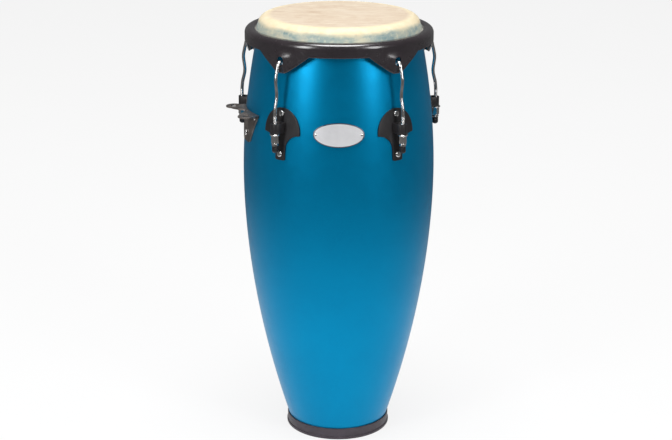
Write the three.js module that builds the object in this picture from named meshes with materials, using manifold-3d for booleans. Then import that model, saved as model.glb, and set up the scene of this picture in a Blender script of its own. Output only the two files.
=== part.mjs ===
// Conga drum on its own foot: a barrel shell with a tuned head, five lugs and a stand bracket.
// Millimetres, +Z up. Azimuth 0 faces -Y and grows towards +X; each fitting is built with
// +X outwards from the drum's axis, +Y along the rim, and is then turned to its azimuth.
import * as THREE from "three";
import { mergeVertices } from "three/addons/utils/BufferGeometryUtils.js";
import Module from "manifold-3d";

const wasm = await Module();
wasm.setup();

// ---- driving dimensions -------------------------------------------------------------------
const GAP = 0.3; // between pieces that rest on each other
const RUNNING = 0.09; // radial clearance of a thread in its nut
const SEGMENTS = 50; // round the drum; a multiple of the five lugs
const LUGS = [-36, 36, 108, 180, -108]; // azimuths, degrees

// Shell: the belly is the widest circle, and the wall closes in to the foot and to the head.
const SHELL_TOP = 785.9;
const BELLY_Z = 500;
const BELLY_R = 174.2;
const HEAD_R = 139.7; // an 11 inch head
const FOOT_R = 86.8;
const FOOT_POWER = 1.9;
const HEAD_POWER = 1.93;
const WALL = 6.5;
const EDGE_R = 15.5; // round of the bearing edge
const EDGE_WALL = WALL + 11; // the wall thickens under the bearing edge

// Foot ring: an L section that the shell stands in.
const FOOT_FLOOR = 4;
const FOOT_HEIGHT = 21;
const FOOT_OUTER_R = FOOT_R + 10.2;
const FOOT_BORE_R = FOOT_R - WALL + 0.7; // just outside the shell's bore

// Head: a thick skin lapped under its flesh hoop.
const SKIN = 1.8;
const LAP_R = HEAD_R + 18.3;
const LAP_Z = SHELL_TOP - 29.3;
const HOOP_WIRE_R = 3.2;

// Rim: a rolled hoop over the flesh hoop, with an ear for each hook.
const RIM_TOP = LAP_Z + 9.9;
const RIM_BOTTOM = RIM_TOP - 24.5;
const RIM_OUTER_R = LAP_R + 11.2;
const RIM_INNER_R = LAP_R - 8.2;
const RIM_SKIRT = 2.4;
const EAR_ROOT = 54; // half width
const EAR_TIP = 13; // half width
const EAR_TIP_Z = RIM_BOTTOM - 31.5;
const EAR_HOLE_HALF = 6; // the hook's rod passes with nearly 3 mm to spare each side
const EAR_HOLE_TOP = RIM_BOTTOM - 2.5;
const BOSS_OUT = 4.6;

// Lugs: a side plate screwed through the shell, with a strap that takes the hook.
const PLATE = 2.5;
const PLATE_HALF = 37.5;
const STEM_HALF = 10;
const STRAP_TOP = SHELL_TOP - 161.9;
const STRAP_BOTTOM = STRAP_TOP - 17.5;
const STRAP_HALF = 9;
const STRAP_SHEET = 2.6;
const STRAP_END = 6.5; // from the rod's middle to the strap's outer face
const PLATE_ARCH_Z = STRAP_TOP + 24.5;
const PLATE_WING_Z = STRAP_BOTTOM - 2;
const PLATE_FOOT_Z = PLATE_WING_Z - 48;
const SCREW_HEIGHTS = [PLATE_FOOT_Z + 11, PLATE_ARCH_Z - 9.8];
const SCREW_R = 2.5;
const SCREW_HEAD_R = 5.2;

// Tuning nut: 1/2 inch across flats with a flange, and a closed cap below.
const FLANGE_R = 9.1;
const FLANGE = 2.8;
const HEX_FLATS = 12.7;
const HEX_LENGTH = 13.5;
const COLLAR_R = 6.3;
const COLLAR = 4.7;
const CAP_R = 5.65;
const CAP_LENGTH = 13;
const CAP_TOP = STRAP_BOTTOM - GAP - FLANGE - HEX_LENGTH - COLLAR - GAP;

// Hooks: 1/4 inch rod, bent over the ear's lower web and hung clear of the side plate.
const ROD_R = 3.175;
const SHANK_R = ROD_R - 0.125;
const ROD_STANDOFF = 20; // from the shell at the strap's middle height
const ROD_REACH = halfMillimetre(shellRadius((STRAP_TOP + STRAP_BOTTOM) / 2) + ROD_STANDOFF);
const STRAP_REACH = ROD_REACH + STRAP_END;
const ROD_END = CAP_TOP - CAP_LENGTH + 6.6;
const THREAD_TOP = STRAP_TOP + 14;
const BEND_R = SHANK_R + 5.45;
const BEND_REACH = RIM_OUTER_R + 1.8;
const BEND_Z = EAR_TIP_Z + 11.5;

// Stand bracket: a flange with two drilled ears over an apron that hugs the shell.
const BRACKET_AZIMUTH = -72;
const BRACKET_SHEET = 2.5;
const BRACKET_TOP = STRAP_TOP;
const BRACKET_FOOT_Z = BRACKET_TOP - 56;
const BRACKET_FOOT_HALF = 21;
const BRACKET_HALF = 47;
const BRACKET_EAR_T = 41; // ear hole from the bracket's middle
const BRACKET_EAR_REACH = ROD_REACH - 2.5;
const BRACKET_EAR_R = 14.5;
const BRACKET_HOLE_R = 6;
const BRACKET_NOTCH_REACH = BRACKET_EAR_REACH - 11.5;
const BRACKET_SCREWS = [
  [-34.5, BRACKET_TOP - 7.6, 3.4],
  [34.5, BRACKET_TOP - 7.6, 3.4],
  [0, BRACKET_FOOT_Z + 15.5, SCREW_HEAD_R],
]; // along the rim, height, radius of the head

// Badge: a bare oval plate on two pins.
const BADGE_HALF = [44.4, 21.2];
const BADGE_Z = STRAP_TOP - 16;
const BADGE_SHEET = 1.4;
const BADGE_PIN_T = 39.7;

// ---- shapes -------------------------------------------------------------------------------
const rad = THREE.MathUtils.degToRad;
const V2 = (x, y) => new THREE.Vector2(x, y);
const V3 = (x, y, z) => new THREE.Vector3(x, y, z);

function halfMillimetre(size) {
  return Math.round(2 * size) / 2;
}

function shellRadius(z) {
  if (z < BELLY_Z) {
    return BELLY_R - (BELLY_R - FOOT_R) * ((BELLY_Z - z) / BELLY_Z) ** FOOT_POWER;
  }
  const rise = (z - BELLY_Z) / (SHELL_TOP - BELLY_Z);
  return BELLY_R - (BELLY_R - HEAD_R) * rise ** HEAD_POWER;
}

// The bearing edge is a quarter round about this circle.
const EDGE_Z = SHELL_TOP - EDGE_R;
const EDGE_MIDDLE = shellRadius(EDGE_Z) - EDGE_R;

// The geometry as one closed solid, facing outwards.
function solid(geometry) {
  const bare = geometry.index ? geometry.toNonIndexed() : geometry.clone();
  for (const name of Object.keys(bare.attributes)) {
    if (name !== "position") {
      bare.deleteAttribute(name);
    }
  }
  const merged = mergeVertices(bare, 1e-4);
  const kept = [];
  for (let i = 0; i < merged.index.count; i += 3) {
    const [a, b, c] = merged.index.array.slice(i, i + 3);
    if (a !== b && b !== c && c !== a) {
      kept.push(a, b, c);
    }
  }
  const build = (triangles) =>
    new wasm.Manifold(
      new wasm.Mesh({
        numProp: 3,
        vertProperties: new Float32Array(merged.attributes.position.array),
        triVerts: new Uint32Array(triangles),
      }),
    );
  const made = build(kept);
  return made.volume() > 0 ? made : build(kept.reverse());
}

function geometryOf(made) {
  const mesh = made.getMesh();
  const points = new Float32Array(mesh.numVert * 3);
  for (let i = 0; i < mesh.numVert; i += 1) {
    points.set(mesh.vertProperties.subarray(i * mesh.numProp, i * mesh.numProp + 3), i * 3);
  }
  const geometry = new THREE.BufferGeometry();
  geometry.setAttribute("position", new THREE.BufferAttribute(points, 3));
  geometry.setIndex(new THREE.BufferAttribute(mesh.triVerts, 1));
  return geometry;
}

// A closed [radius, height] outline turned about the drum's axis.
function turned(outline, segments = SEGMENTS) {
  const points = outline.map(([r, z]) => V2(r, z));
  points.push(points[0].clone());
  return solid(new THREE.LatheGeometry(points, segments).rotateX(Math.PI / 2));
}

// An outline that starts and ends on its axis, turned about X, for screws and pins.
function spun(outline, segments) {
  const points = outline.map(([r, x]) => V2(r, x));
  return solid(new THREE.LatheGeometry(points, segments).rotateZ(-Math.PI / 2));
}

// A shape drawn along the rim and upwards, pushed out between two distances from the axis.
function outwards(shape, from, to, curveSegments = 8) {
  const geometry = new THREE.ExtrudeGeometry(shape, {
    depth: to - from,
    bevelEnabled: false,
    curveSegments,
  });
  geometry.applyMatrix4(new THREE.Matrix4().makeBasis(V3(0, 1, 0), V3(0, 0, 1), V3(1, 0, 0)));
  return solid(geometry.translate(from, 0, 0));
}

// A shape drawn in plan, pushed up between two heights.
function upwards(shape, from, to, curveSegments = 8) {
  const options = { depth: to - from, bevelEnabled: false, curveSegments };
  return solid(new THREE.ExtrudeGeometry(shape, options).translate(0, 0, from));
}

function rod(radius, reach, from, to, sides = 20) {
  const geometry = new THREE.CylinderGeometry(radius, radius, to - from, sides);
  geometry.rotateX(Math.PI / 2);
  return solid(geometry.translate(reach, 0, (from + to) / 2));
}

function block(x, y, z) {
  const geometry = new THREE.BoxGeometry(x[1] - x[0], y[1] - y[0], z[1] - z[0]);
  geometry.translate((x[0] + x[1]) / 2, (y[0] + y[1]) / 2, (z[0] + z[1]) / 2);
  return solid(geometry);
}

// A sheet that lies on the shell between two heights, from one offset to another.
function onShellSheet(low, high, inner, outer, steps = 6) {
  const heights = Array.from({ length: steps + 1 }, (_, i) => low + ((high - low) * i) / steps);
  const outside = heights.map((z) => [shellRadius(z) + outer, z]);
  const inside = heights.map((z) => [shellRadius(z) + inner, z]).reverse();
  return turned([...outside, ...inside]);
}

const turn = (azimuth) => new THREE.Matrix4().makeRotationZ(rad(azimuth - 90));
const moved = (made, matrix) => made.transform(matrix.elements);

// The frame of a screw: +X out along the shell's normal, at the shell's outer face.
function seat(azimuth, z, along = 0) {
  const rise = shellRadius(z + 1) - shellRadius(z - 1);
  const tilt = Math.atan2(-rise, 2);
  const angle = along / shellRadius(z);
  return turn(azimuth)
    .multiply(new THREE.Matrix4().makeRotationZ(angle))
    .multiply(new THREE.Matrix4().makeTranslation(shellRadius(z), 0, z))
    .multiply(new THREE.Matrix4().makeRotationY(-tilt));
}

// ---- pieces -------------------------------------------------------------------------------
const screwSeats = LUGS.flatMap((azimuth) => SCREW_HEIGHTS.map((z) => seat(azimuth, z)));
const bracketSeats = BRACKET_SCREWS.map(([along, z]) => seat(BRACKET_AZIMUTH, z, along));
const badgeSeats = [-BADGE_PIN_T, BADGE_PIN_T].map((along) => seat(0, BADGE_Z, along));

const drill = spun([[0, -20], [SCREW_R + GAP, -20], [SCREW_R + GAP, 20], [0, 20]], 12);
const pinDrill = spun([[0, -20], [1.4, -20], [1.4, 20], [0, 20]], 10);
const drilled = (made, seats, tool = drill) =>
  seats.reduce((rest, matrix) => rest.subtract(moved(tool, matrix)), made);

function shell() {
  const foot = FOOT_FLOOR + GAP;
  const steps = 14;
  const heights = Array.from({ length: steps + 1 }, (_, i) => foot + ((EDGE_Z - foot) * i) / steps);
  const outside = heights.map((z) => [shellRadius(z), z]);
  const inside = heights.slice(0, -1).map((z) => [shellRadius(z) - WALL, z]).reverse();
  const edge = [22.5, 45, 67.5, 90].map((angle) => {
    const out = EDGE_R * Math.cos(rad(angle));
    return [EDGE_MIDDLE + out, EDGE_Z + EDGE_R * Math.sin(rad(angle))];
  });
  const lining = shellRadius(EDGE_Z) - EDGE_WALL;
  const hull = turned([...outside, ...edge, [lining, SHELL_TOP - 3], [lining, EDGE_Z], ...inside]);
  return drilled(drilled(hull, [...screwSeats, ...bracketSeats]), badgeSeats, pinDrill);
}

function footRing() {
  const wall = [0, 0.33, 0.67, 1].map((part) => {
    const z = FOOT_FLOOR + (FOOT_HEIGHT - FOOT_FLOOR) * part;
    return [shellRadius(z) + GAP, z];
  });
  const lip = shellRadius(FOOT_HEIGHT) + GAP + 1.3;
  return turned([
    [FOOT_BORE_R, 0],
    [FOOT_OUTER_R - 1.2, 0],
    [FOOT_OUTER_R, 1.2],
    [FOOT_OUTER_R, 4.6],
    [FOOT_OUTER_R - 0.9, 5.6],
    [lip + 0.5, FOOT_HEIGHT - 1.5],
    [lip, FOOT_HEIGHT],
    ...wall.reverse(),
    [FOOT_BORE_R, FOOT_FLOOR],
  ]);
}

// The skin's middle line: flat, over the bearing edge, down the collar and round the hoop.
function skinLine() {
  const overR = EDGE_R + GAP + SKIN / 2;
  const lapR = HOOP_WIRE_R + GAP + SKIN / 2;
  const points = [V2(0, EDGE_Z + overR)];
  for (let angle = 90; angle >= 20; angle -= 17.5) {
    const out = V2(Math.cos(rad(angle)), Math.sin(rad(angle))).multiplyScalar(overR);
    points.push(out.add(V2(EDGE_MIDDLE, EDGE_Z)));
  }
  points.push(V2(RIM_INNER_R - 0.5 - SKIN / 2, RIM_TOP - 5));
  for (let angle = 200; angle <= 380; angle += 36) {
    points.push(V2(LAP_R + lapR * Math.cos(rad(angle)), LAP_Z + lapR * Math.sin(rad(angle))));
  }
  return points;
}

function headSkin() {
  const line = skinLine();
  const side = (offset) =>
    line.map((point, i) => {
      const before = line[Math.max(i - 1, 0)];
      const after = line[Math.min(i + 1, line.length - 1)];
      const run = after.clone().sub(before).normalize();
      return V2(Math.max(point.x - run.y * offset, 0), point.y + run.x * offset);
    });
  const outline = [...side(SKIN / 2), ...side(-SKIN / 2).reverse()];
  return solid(new THREE.LatheGeometry(outline, SEGMENTS).rotateX(Math.PI / 2));
}

function fleshHoop() {
  const wire = Array.from({ length: 8 }, (_, i) => rad(22.5 + 45 * i));
  return turned(wire.map((a) => [LAP_R + HOOP_WIRE_R * Math.cos(a), LAP_Z + HOOP_WIRE_R * Math.sin(a)]));
}

// A triangle with slightly hollow sides and a round tip.
function earShape() {
  const side = [(EAR_ROOT + EAR_TIP) / 2 + 4, RIM_BOTTOM - 14];
  const shape = new THREE.Shape();
  shape.moveTo(-EAR_ROOT, RIM_BOTTOM + 4);
  shape.lineTo(-EAR_ROOT, RIM_BOTTOM + 0.5);
  shape.quadraticCurveTo(-side[0], side[1], -EAR_TIP, EAR_TIP_Z + 2.5);
  shape.quadraticCurveTo(-EAR_TIP + 3, EAR_TIP_Z, -EAR_TIP + 7, EAR_TIP_Z);
  shape.lineTo(EAR_TIP - 7, EAR_TIP_Z);
  shape.quadraticCurveTo(EAR_TIP - 3, EAR_TIP_Z, EAR_TIP, EAR_TIP_Z + 2.5);
  shape.quadraticCurveTo(side[0], side[1], EAR_ROOT, RIM_BOTTOM + 0.5);
  shape.lineTo(EAR_ROOT, RIM_BOTTOM + 4);
  return shape;
}

function rim() {
  const inner = RIM_OUTER_R - RIM_SKIRT;
  const hoop = turned([
    [RIM_INNER_R, RIM_TOP - 4.4],
    [RIM_INNER_R + 2.2, RIM_TOP - 1.6],
    [RIM_INNER_R + 6, RIM_TOP],
    [RIM_INNER_R + 11, RIM_TOP - 0.2],
    [RIM_OUTER_R - 4.2, RIM_TOP - 2.6],
    [RIM_OUTER_R - 1.2, RIM_TOP - 6.4],
    [RIM_OUTER_R, RIM_TOP - 11],
    [RIM_OUTER_R, RIM_BOTTOM + 1.5],
    [RIM_OUTER_R - 0.8, RIM_BOTTOM],
    [inner, RIM_BOTTOM],
    [inner, RIM_TOP - 10.5],
    [inner - 3.4, RIM_TOP - 6.4],
    [RIM_INNER_R + 5.2, RIM_TOP - 6.4],
    [RIM_INNER_R + 2.2, RIM_TOP - 4.8],
  ]);
  const band = turned([
    [inner, EAR_TIP_Z - 1],
    [RIM_OUTER_R, EAR_TIP_Z - 1],
    [RIM_OUTER_R, RIM_BOTTOM + 5],
    [inner, RIM_BOTTOM + 5],
  ]);
  const holeBottom = BEND_Z + 2.9;
  const boss = new THREE.Shape([
    V2(RIM_OUTER_R - 1, -20),
    V2(RIM_OUTER_R + BOSS_OUT, -EAR_HOLE_HALF),
    V2(RIM_OUTER_R + BOSS_OUT, EAR_HOLE_HALF),
    V2(RIM_OUTER_R - 1, 20),
  ]);
  const hole = new THREE.Shape();
  hole.moveTo(-EAR_HOLE_HALF, holeBottom + 2);
  hole.quadraticCurveTo(-EAR_HOLE_HALF, holeBottom, -EAR_HOLE_HALF + 2, holeBottom);
  hole.lineTo(EAR_HOLE_HALF - 2, holeBottom);
  hole.quadraticCurveTo(EAR_HOLE_HALF, holeBottom, EAR_HOLE_HALF, holeBottom + 2);
  hole.lineTo(EAR_HOLE_HALF, EAR_HOLE_TOP - EAR_HOLE_HALF - 1);
  hole.absarc(0, EAR_HOLE_TOP - EAR_HOLE_HALF, EAR_HOLE_HALF, 0, Math.PI, false);
  const ear = outwards(earShape(), RIM_OUTER_R - 12, RIM_OUTER_R + 12);
  const tent = upwards(boss, holeBottom + 1, RIM_BOTTOM + 6).intersect(ear);
  const opening = outwards(hole, RIM_INNER_R + 12.5, RIM_OUTER_R + 10, 4);
  return LUGS.reduce((made, azimuth) => {
    const place = turn(azimuth);
    const tab = moved(band, new THREE.Matrix4()).intersect(moved(ear, place)).add(moved(tent, place));
    return made.add(tab).subtract(moved(opening, place));
  }, hoop);
}

function hook() {
  const points = [V3(BEND_REACH - BEND_R, 0, BEND_Z - 10), V3(BEND_REACH - BEND_R, 0, BEND_Z - 4)];
  for (let angle = 180; angle >= 0; angle -= 30) {
    const out = BEND_REACH + BEND_R * Math.cos(rad(angle));
    points.push(V3(out, 0, BEND_Z + BEND_R * Math.sin(rad(angle))));
  }
  points.push(
    V3(BEND_REACH + BEND_R + 3, 0, BEND_Z - 12),
    V3(BEND_REACH + BEND_R + 4.8, 0, BEND_Z - 25),
    V3(BEND_REACH + BEND_R + 2.3, 0, BEND_Z - 49),
    V3(ROD_REACH - 1.6, 0, THREAD_TOP + 14),
    V3(ROD_REACH, 0, THREAD_TOP),
    V3(ROD_REACH, 0, THREAD_TOP - 4),
  );
  const path = new THREE.CatmullRomCurve3(points, false, "centripetal");
  const section = new THREE.Shape().absarc(0, 0, SHANK_R, 0, 2 * Math.PI, false);
  const bent = new THREE.ExtrudeGeometry(section, {
    steps: 28,
    curveSegments: 4,
    extrudePath: path,
  });
  return solid(bent).add(rod(ROD_R, ROD_REACH, ROD_END, THREAD_TOP, 16));
}

// A stem that opens in two quarter hollows to the wing tips, under one arch.
function plateShape() {
  const hollowZ = PLATE_WING_Z - 28; // where the stem starts to open
  const bulge = 0.55; // of a quarter circle, for a Bezier handle
  const hollow = [PLATE_HALF - STEM_HALF, PLATE_WING_Z - hollowZ].map((size) => size * bulge);
  const arch = [PLATE_HALF, PLATE_ARCH_Z - PLATE_WING_Z].map((size) => size * bulge);
  const shape = new THREE.Shape();
  shape.moveTo(-STEM_HALF + 3, PLATE_FOOT_Z);
  shape.lineTo(STEM_HALF - 3, PLATE_FOOT_Z);
  shape.quadraticCurveTo(STEM_HALF, PLATE_FOOT_Z, STEM_HALF, PLATE_FOOT_Z + 3);
  shape.lineTo(STEM_HALF, hollowZ);
  shape.bezierCurveTo(
    STEM_HALF,
    hollowZ + hollow[1],
    PLATE_HALF - hollow[0],
    PLATE_WING_Z - 2,
    PLATE_HALF - 1,
    PLATE_WING_Z - 2,
  );
  shape.lineTo(PLATE_HALF, PLATE_WING_Z);
  shape.bezierCurveTo(
    PLATE_HALF,
    PLATE_WING_Z + arch[1],
    arch[0],
    PLATE_ARCH_Z,
    0,
    PLATE_ARCH_Z,
  );
  shape.bezierCurveTo(
    -arch[0],
    PLATE_ARCH_Z,
    -PLATE_HALF,
    PLATE_WING_Z + arch[1],
    -PLATE_HALF,
    PLATE_WING_Z,
  );
  shape.lineTo(-PLATE_HALF + 1, PLATE_WING_Z - 2);
  shape.bezierCurveTo(
    -PLATE_HALF + hollow[0],
    PLATE_WING_Z - 2,
    -STEM_HALF,
    hollowZ + hollow[1],
    -STEM_HALF,
    hollowZ,
  );
  shape.lineTo(-STEM_HALF, PLATE_FOOT_Z + 3);
  shape.quadraticCurveTo(-STEM_HALF, PLATE_FOOT_Z, -STEM_HALF + 3, PLATE_FOOT_Z);
  return shape;
}

const plateSheet = onShellSheet(PLATE_FOOT_Z - 3, PLATE_ARCH_Z + 3, GAP, GAP + PLATE);
const plateCutter = outwards(plateShape(), BELLY_R - 30, BELLY_R + 20, 5);

function sidePlate(azimuth, seats) {
  return drilled(plateSheet.intersect(moved(plateCutter, turn(azimuth))), seats);
}

const strapBack = onShellSheet(STRAP_BOTTOM - 6, STRAP_TOP + 6, -40, 2 * GAP + PLATE, 4);

function strap(azimuth) {
  const wall = STRAP_SHEET;
  const body = block([ROD_REACH - 34, STRAP_REACH], [-STRAP_HALF, STRAP_HALF], [STRAP_BOTTOM, STRAP_TOP]);
  const backs = shellRadius((STRAP_TOP + STRAP_BOTTOM) / 2) + 2 * GAP + PLATE + wall + 1;
  const inside = STRAP_HALF - wall;
  const pocket = block(
    [backs, STRAP_REACH - wall],
    [-inside, inside],
    [STRAP_BOTTOM + wall + 0.6, STRAP_TOP + 5],
  );
  const hole = rod(ROD_R + 0.6, ROD_REACH, STRAP_BOTTOM - 5, STRAP_TOP, 16);
  return moved(body.subtract(pocket).subtract(hole), turn(azimuth)).subtract(strapBack);
}

function tuningNut() {
  const top = STRAP_BOTTOM - GAP;
  const hexTop = top - FLANGE;
  const hexBottom = hexTop - HEX_LENGTH;
  const bottom = hexBottom - COLLAR;
  const flange = rod(FLANGE_R, ROD_REACH, hexTop, top, 20);
  const corner = HEX_FLATS / 2 / Math.cos(Math.PI / 6);
  const hex = rod(corner, ROD_REACH, hexBottom - 0.2, hexTop + 0.2, 6);
  const collar = rod(COLLAR_R, ROD_REACH, bottom, hexBottom, 20);
  const bore = rod(ROD_R + RUNNING, ROD_REACH, bottom - 5, top + 5, 24);
  return flange.add(hex).add(collar).subtract(bore);
}

function nutCap() {
  const bottom = CAP_TOP - CAP_LENGTH;
  const bore = ROD_R + 0.5;
  const dome = [0, 30, 60, 90].map((a) => [
    CAP_R * Math.sin(rad(a)),
    bottom + 4.5 - 4.5 * Math.cos(rad(a)),
  ]);
  const outline = [...dome, [CAP_R, CAP_TOP], [bore, CAP_TOP], [bore, bottom + 2.5], [0, bottom + 2.5]];
  const points = outline.map(([r, z]) => V2(r, z));
  const geometry = new THREE.LatheGeometry(points, 16).rotateX(Math.PI / 2);
  return solid(geometry.translate(ROD_REACH, 0, 0));
}

const NUT_DEPTH = WALL + 0.9; // a flat washer inside the curved wall, from the outer face

function screw(sheet, headR = SCREW_HEAD_R) {
  const face = GAP + sheet + GAP;
  const end = -NUT_DEPTH - 5.2;
  return spun(
    [
      [0, end],
      [SCREW_R, end],
      [SCREW_R, face],
      [headR, face],
      [headR, face + 0.25 * headR],
      [0.7 * headR, face + 0.52 * headR],
      [0, face + 0.6 * headR],
    ],
    12,
  );
}

function wallNut() {
  const hex = new THREE.CylinderGeometry(4.6, 4.6, 3.4, 6).rotateZ(Math.PI / 2);
  const washer = spun([[0, -1.2], [6.2, -1.2], [6.2, 0], [0, 0]], 12);
  const body = solid(hex.translate(-1.7 - 0.8, 0, 0)).add(washer);
  const bore = spun([[0, -9], [SCREW_R + 2 * RUNNING, -9], [SCREW_R + 2 * RUNNING, 3], [0, 3]], 12);
  return moved(body.subtract(bore), new THREE.Matrix4().makeTranslation(-NUT_DEPTH, 0, 0));
}

function badge() {
  const oval = new THREE.Shape().absellipse(0, BADGE_Z, BADGE_HALF[0], BADGE_HALF[1], 0, 2 * Math.PI, false);
  const sheet = onShellSheet(BADGE_Z - 25, BADGE_Z + 25, GAP, GAP + BADGE_SHEET, 4);
  const cut = moved(outwards(oval, BELLY_R - 40, BELLY_R + 20, 18), turn(0));
  return drilled(sheet.intersect(cut), badgeSeats, pinDrill);
}

function badgePin() {
  const face = GAP + BADGE_SHEET + GAP;
  return spun([[0, -4.5], [1.1, -4.5], [1.1, face], [2.3, face], [1.7, face + 1], [0, face + 1.2]], 10);
}

// The flange's outline in plan: two rounded ears with a notch between them.
function flangeShape() {
  const shape = new THREE.Shape();
  const t = BRACKET_EAR_T;
  const reach = BRACKET_EAR_REACH;
  const root = reach - 34.5; // inside the shell, cut off later
  shape.moveTo(root, -BRACKET_HALF);
  shape.lineTo(reach - 4, -t - BRACKET_EAR_R + 1);
  shape.absarc(reach, -t, BRACKET_EAR_R, rad(-110), rad(45), false);
  shape.quadraticCurveTo(reach, -12, BRACKET_NOTCH_REACH, -5);
  shape.quadraticCurveTo(BRACKET_NOTCH_REACH - 2, 0, BRACKET_NOTCH_REACH, 5);
  shape.quadraticCurveTo(reach, 12, reach + BRACKET_EAR_R * Math.cos(rad(45)), t - BRACKET_EAR_R * Math.sin(rad(45)));
  shape.absarc(reach, t, BRACKET_EAR_R, rad(-45), rad(110), false);
  shape.lineTo(root, BRACKET_HALF);
  for (const side of [-t, t]) {
    shape.holes.push(new THREE.Path().absarc(reach, side, BRACKET_HOLE_R, 0, 2 * Math.PI, true));
  }
  return shape;
}

function standBracket() {
  const apronTop = BRACKET_TOP - 0.5;
  const apron = new THREE.Shape();
  apron.moveTo(-BRACKET_HALF + 3, apronTop);
  apron.lineTo(-BRACKET_HALF + 3, BRACKET_TOP - 5);
  apron.lineTo(-BRACKET_FOOT_HALF, BRACKET_FOOT_Z + 6);
  apron.quadraticCurveTo(-BRACKET_FOOT_HALF + 3, BRACKET_FOOT_Z, -BRACKET_FOOT_HALF + 9, BRACKET_FOOT_Z);
  apron.lineTo(BRACKET_FOOT_HALF - 9, BRACKET_FOOT_Z);
  apron.quadraticCurveTo(BRACKET_FOOT_HALF - 3, BRACKET_FOOT_Z, BRACKET_FOOT_HALF, BRACKET_FOOT_Z + 6);
  apron.lineTo(BRACKET_HALF - 3, BRACKET_TOP - 5);
  apron.lineTo(BRACKET_HALF - 3, apronTop);
  const place = turn(BRACKET_AZIMUTH);
  const sheet = onShellSheet(BRACKET_FOOT_Z - 8, BRACKET_TOP, GAP, GAP + BRACKET_SHEET, 5);
  const hugging = sheet.intersect(moved(outwards(apron, BELLY_R - 40, BELLY_R + 20, 5), place));
  const flat = moved(upwards(flangeShape(), BRACKET_TOP - BRACKET_SHEET, BRACKET_TOP, 7), place);
  const keepOut = onShellSheet(BRACKET_TOP - 10, BRACKET_TOP + 10, -80, GAP, 4);
  return drilled(hugging.add(flat.subtract(keepOut)), bracketSeats);
}

// ---- the drum -----------------------------------------------------------------------------
const look = (name, color, metalness, roughness) =>
  new THREE.MeshStandardMaterial({ name, color, metalness, roughness });

const drum = new THREE.Group();
drum.name = "conga_drum";

function add(name, made, color, metalness = 0, roughness = 0.5) {
  const mesh = new THREE.Mesh(geometryOf(made), look(name, color, metalness, roughness));
  mesh.name = name;
  drum.add(mesh);
}

const BLACK = 0x1d1a1c;
const CHROME = 0xd4d6d8;

add("shell", shell(), 0x0787b5, 0.4, 0.35);
add("foot_ring", footRing(), 0x4a414a, 0, 0.7);
add("head_skin", headSkin(), 0xf0deba, 0, 0.6);
add("flesh_hoop", fleshHoop(), 0x9c9da0, 1, 0.4);
add("rim", rim(), BLACK, 0.5, 0.35);

LUGS.forEach((azimuth, i) => {
  const number = i + 1;
  const place = turn(azimuth);
  const seats = screwSeats.slice(2 * i, 2 * i + 2);
  add(`side_plate_${number}`, sidePlate(azimuth, seats), BLACK, 0.4, 0.45);
  add(`strap_${number}`, strap(azimuth), BLACK, 0.4, 0.4);
  add(`hook_${number}`, moved(hook(), place), CHROME, 1, 0.2);
  add(`tuning_nut_${number}`, moved(tuningNut(), place), CHROME, 1, 0.2);
  add(`nut_cap_${number}`, moved(nutCap(), place), BLACK, 0, 0.5);
  seats.forEach((matrix, k) => {
    const letter = "ab"[k];
    add(`plate_screw_${number}${letter}`, moved(screw(PLATE), matrix), CHROME, 1, 0.2);
    add(`wall_nut_${number}${letter}`, moved(wallNut(), matrix), 0x9c9da0, 1, 0.4);
  });
});

add("badge", badge(), 0xe8e9ea, 0.6, 0.3);
badgeSeats.forEach((matrix, i) => {
  add(`badge_pin_${i + 1}`, moved(badgePin(), matrix), CHROME, 1, 0.3);
});

add("stand_bracket", standBracket(), 0x6f6763, 0.8, 0.45);
bracketSeats.forEach((matrix, i) => {
  const headR = BRACKET_SCREWS[i][2];
  add(`bracket_screw_${i + 1}`, moved(screw(BRACKET_SHEET, headR), matrix), CHROME, 1, 0.25);
  add(`bracket_nut_${i + 1}`, moved(wallNut(), matrix), 0x9c9da0, 1, 0.4);
});

// The origin is under the middle of the whole object's box, on the floor.
const box = new THREE.Box3().setFromObject(drum);
const middle = box.getCenter(V3(0, 0, 0));
drum.position.set(-middle.x, -middle.y, -box.min.z);

export default drum;
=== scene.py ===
"""Conga drum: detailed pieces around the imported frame, in metres."""

import math

import bmesh
import bpy
from mathutils import Matrix, Vector, noise


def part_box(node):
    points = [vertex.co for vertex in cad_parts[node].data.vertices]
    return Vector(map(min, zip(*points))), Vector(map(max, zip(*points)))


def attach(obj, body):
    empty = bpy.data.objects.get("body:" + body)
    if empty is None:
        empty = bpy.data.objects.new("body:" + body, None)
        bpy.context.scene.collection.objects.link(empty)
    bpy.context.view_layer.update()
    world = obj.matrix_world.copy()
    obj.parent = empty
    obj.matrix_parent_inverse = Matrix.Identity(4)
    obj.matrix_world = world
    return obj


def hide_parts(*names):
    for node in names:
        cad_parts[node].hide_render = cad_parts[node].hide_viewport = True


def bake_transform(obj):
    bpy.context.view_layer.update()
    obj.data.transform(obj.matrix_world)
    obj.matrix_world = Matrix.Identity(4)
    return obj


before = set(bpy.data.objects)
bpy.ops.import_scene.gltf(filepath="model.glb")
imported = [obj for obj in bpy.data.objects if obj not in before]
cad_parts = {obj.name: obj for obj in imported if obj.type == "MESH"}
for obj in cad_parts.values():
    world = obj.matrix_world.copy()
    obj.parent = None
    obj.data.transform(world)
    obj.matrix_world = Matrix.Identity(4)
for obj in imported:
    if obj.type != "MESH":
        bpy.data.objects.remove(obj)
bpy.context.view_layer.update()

# ---- the drum's own frame -------------------------------------------------------------------
MM = 0.001
ring_lo, ring_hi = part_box("foot_ring")
AXIS = Vector(((ring_lo[0] + ring_hi[0]) / 2, (ring_lo[1] + ring_hi[1]) / 2, 0))
LUGS = [-36, 36, 108, 180, -108]  # azimuths in degrees, from the badge
rad = math.radians

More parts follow.
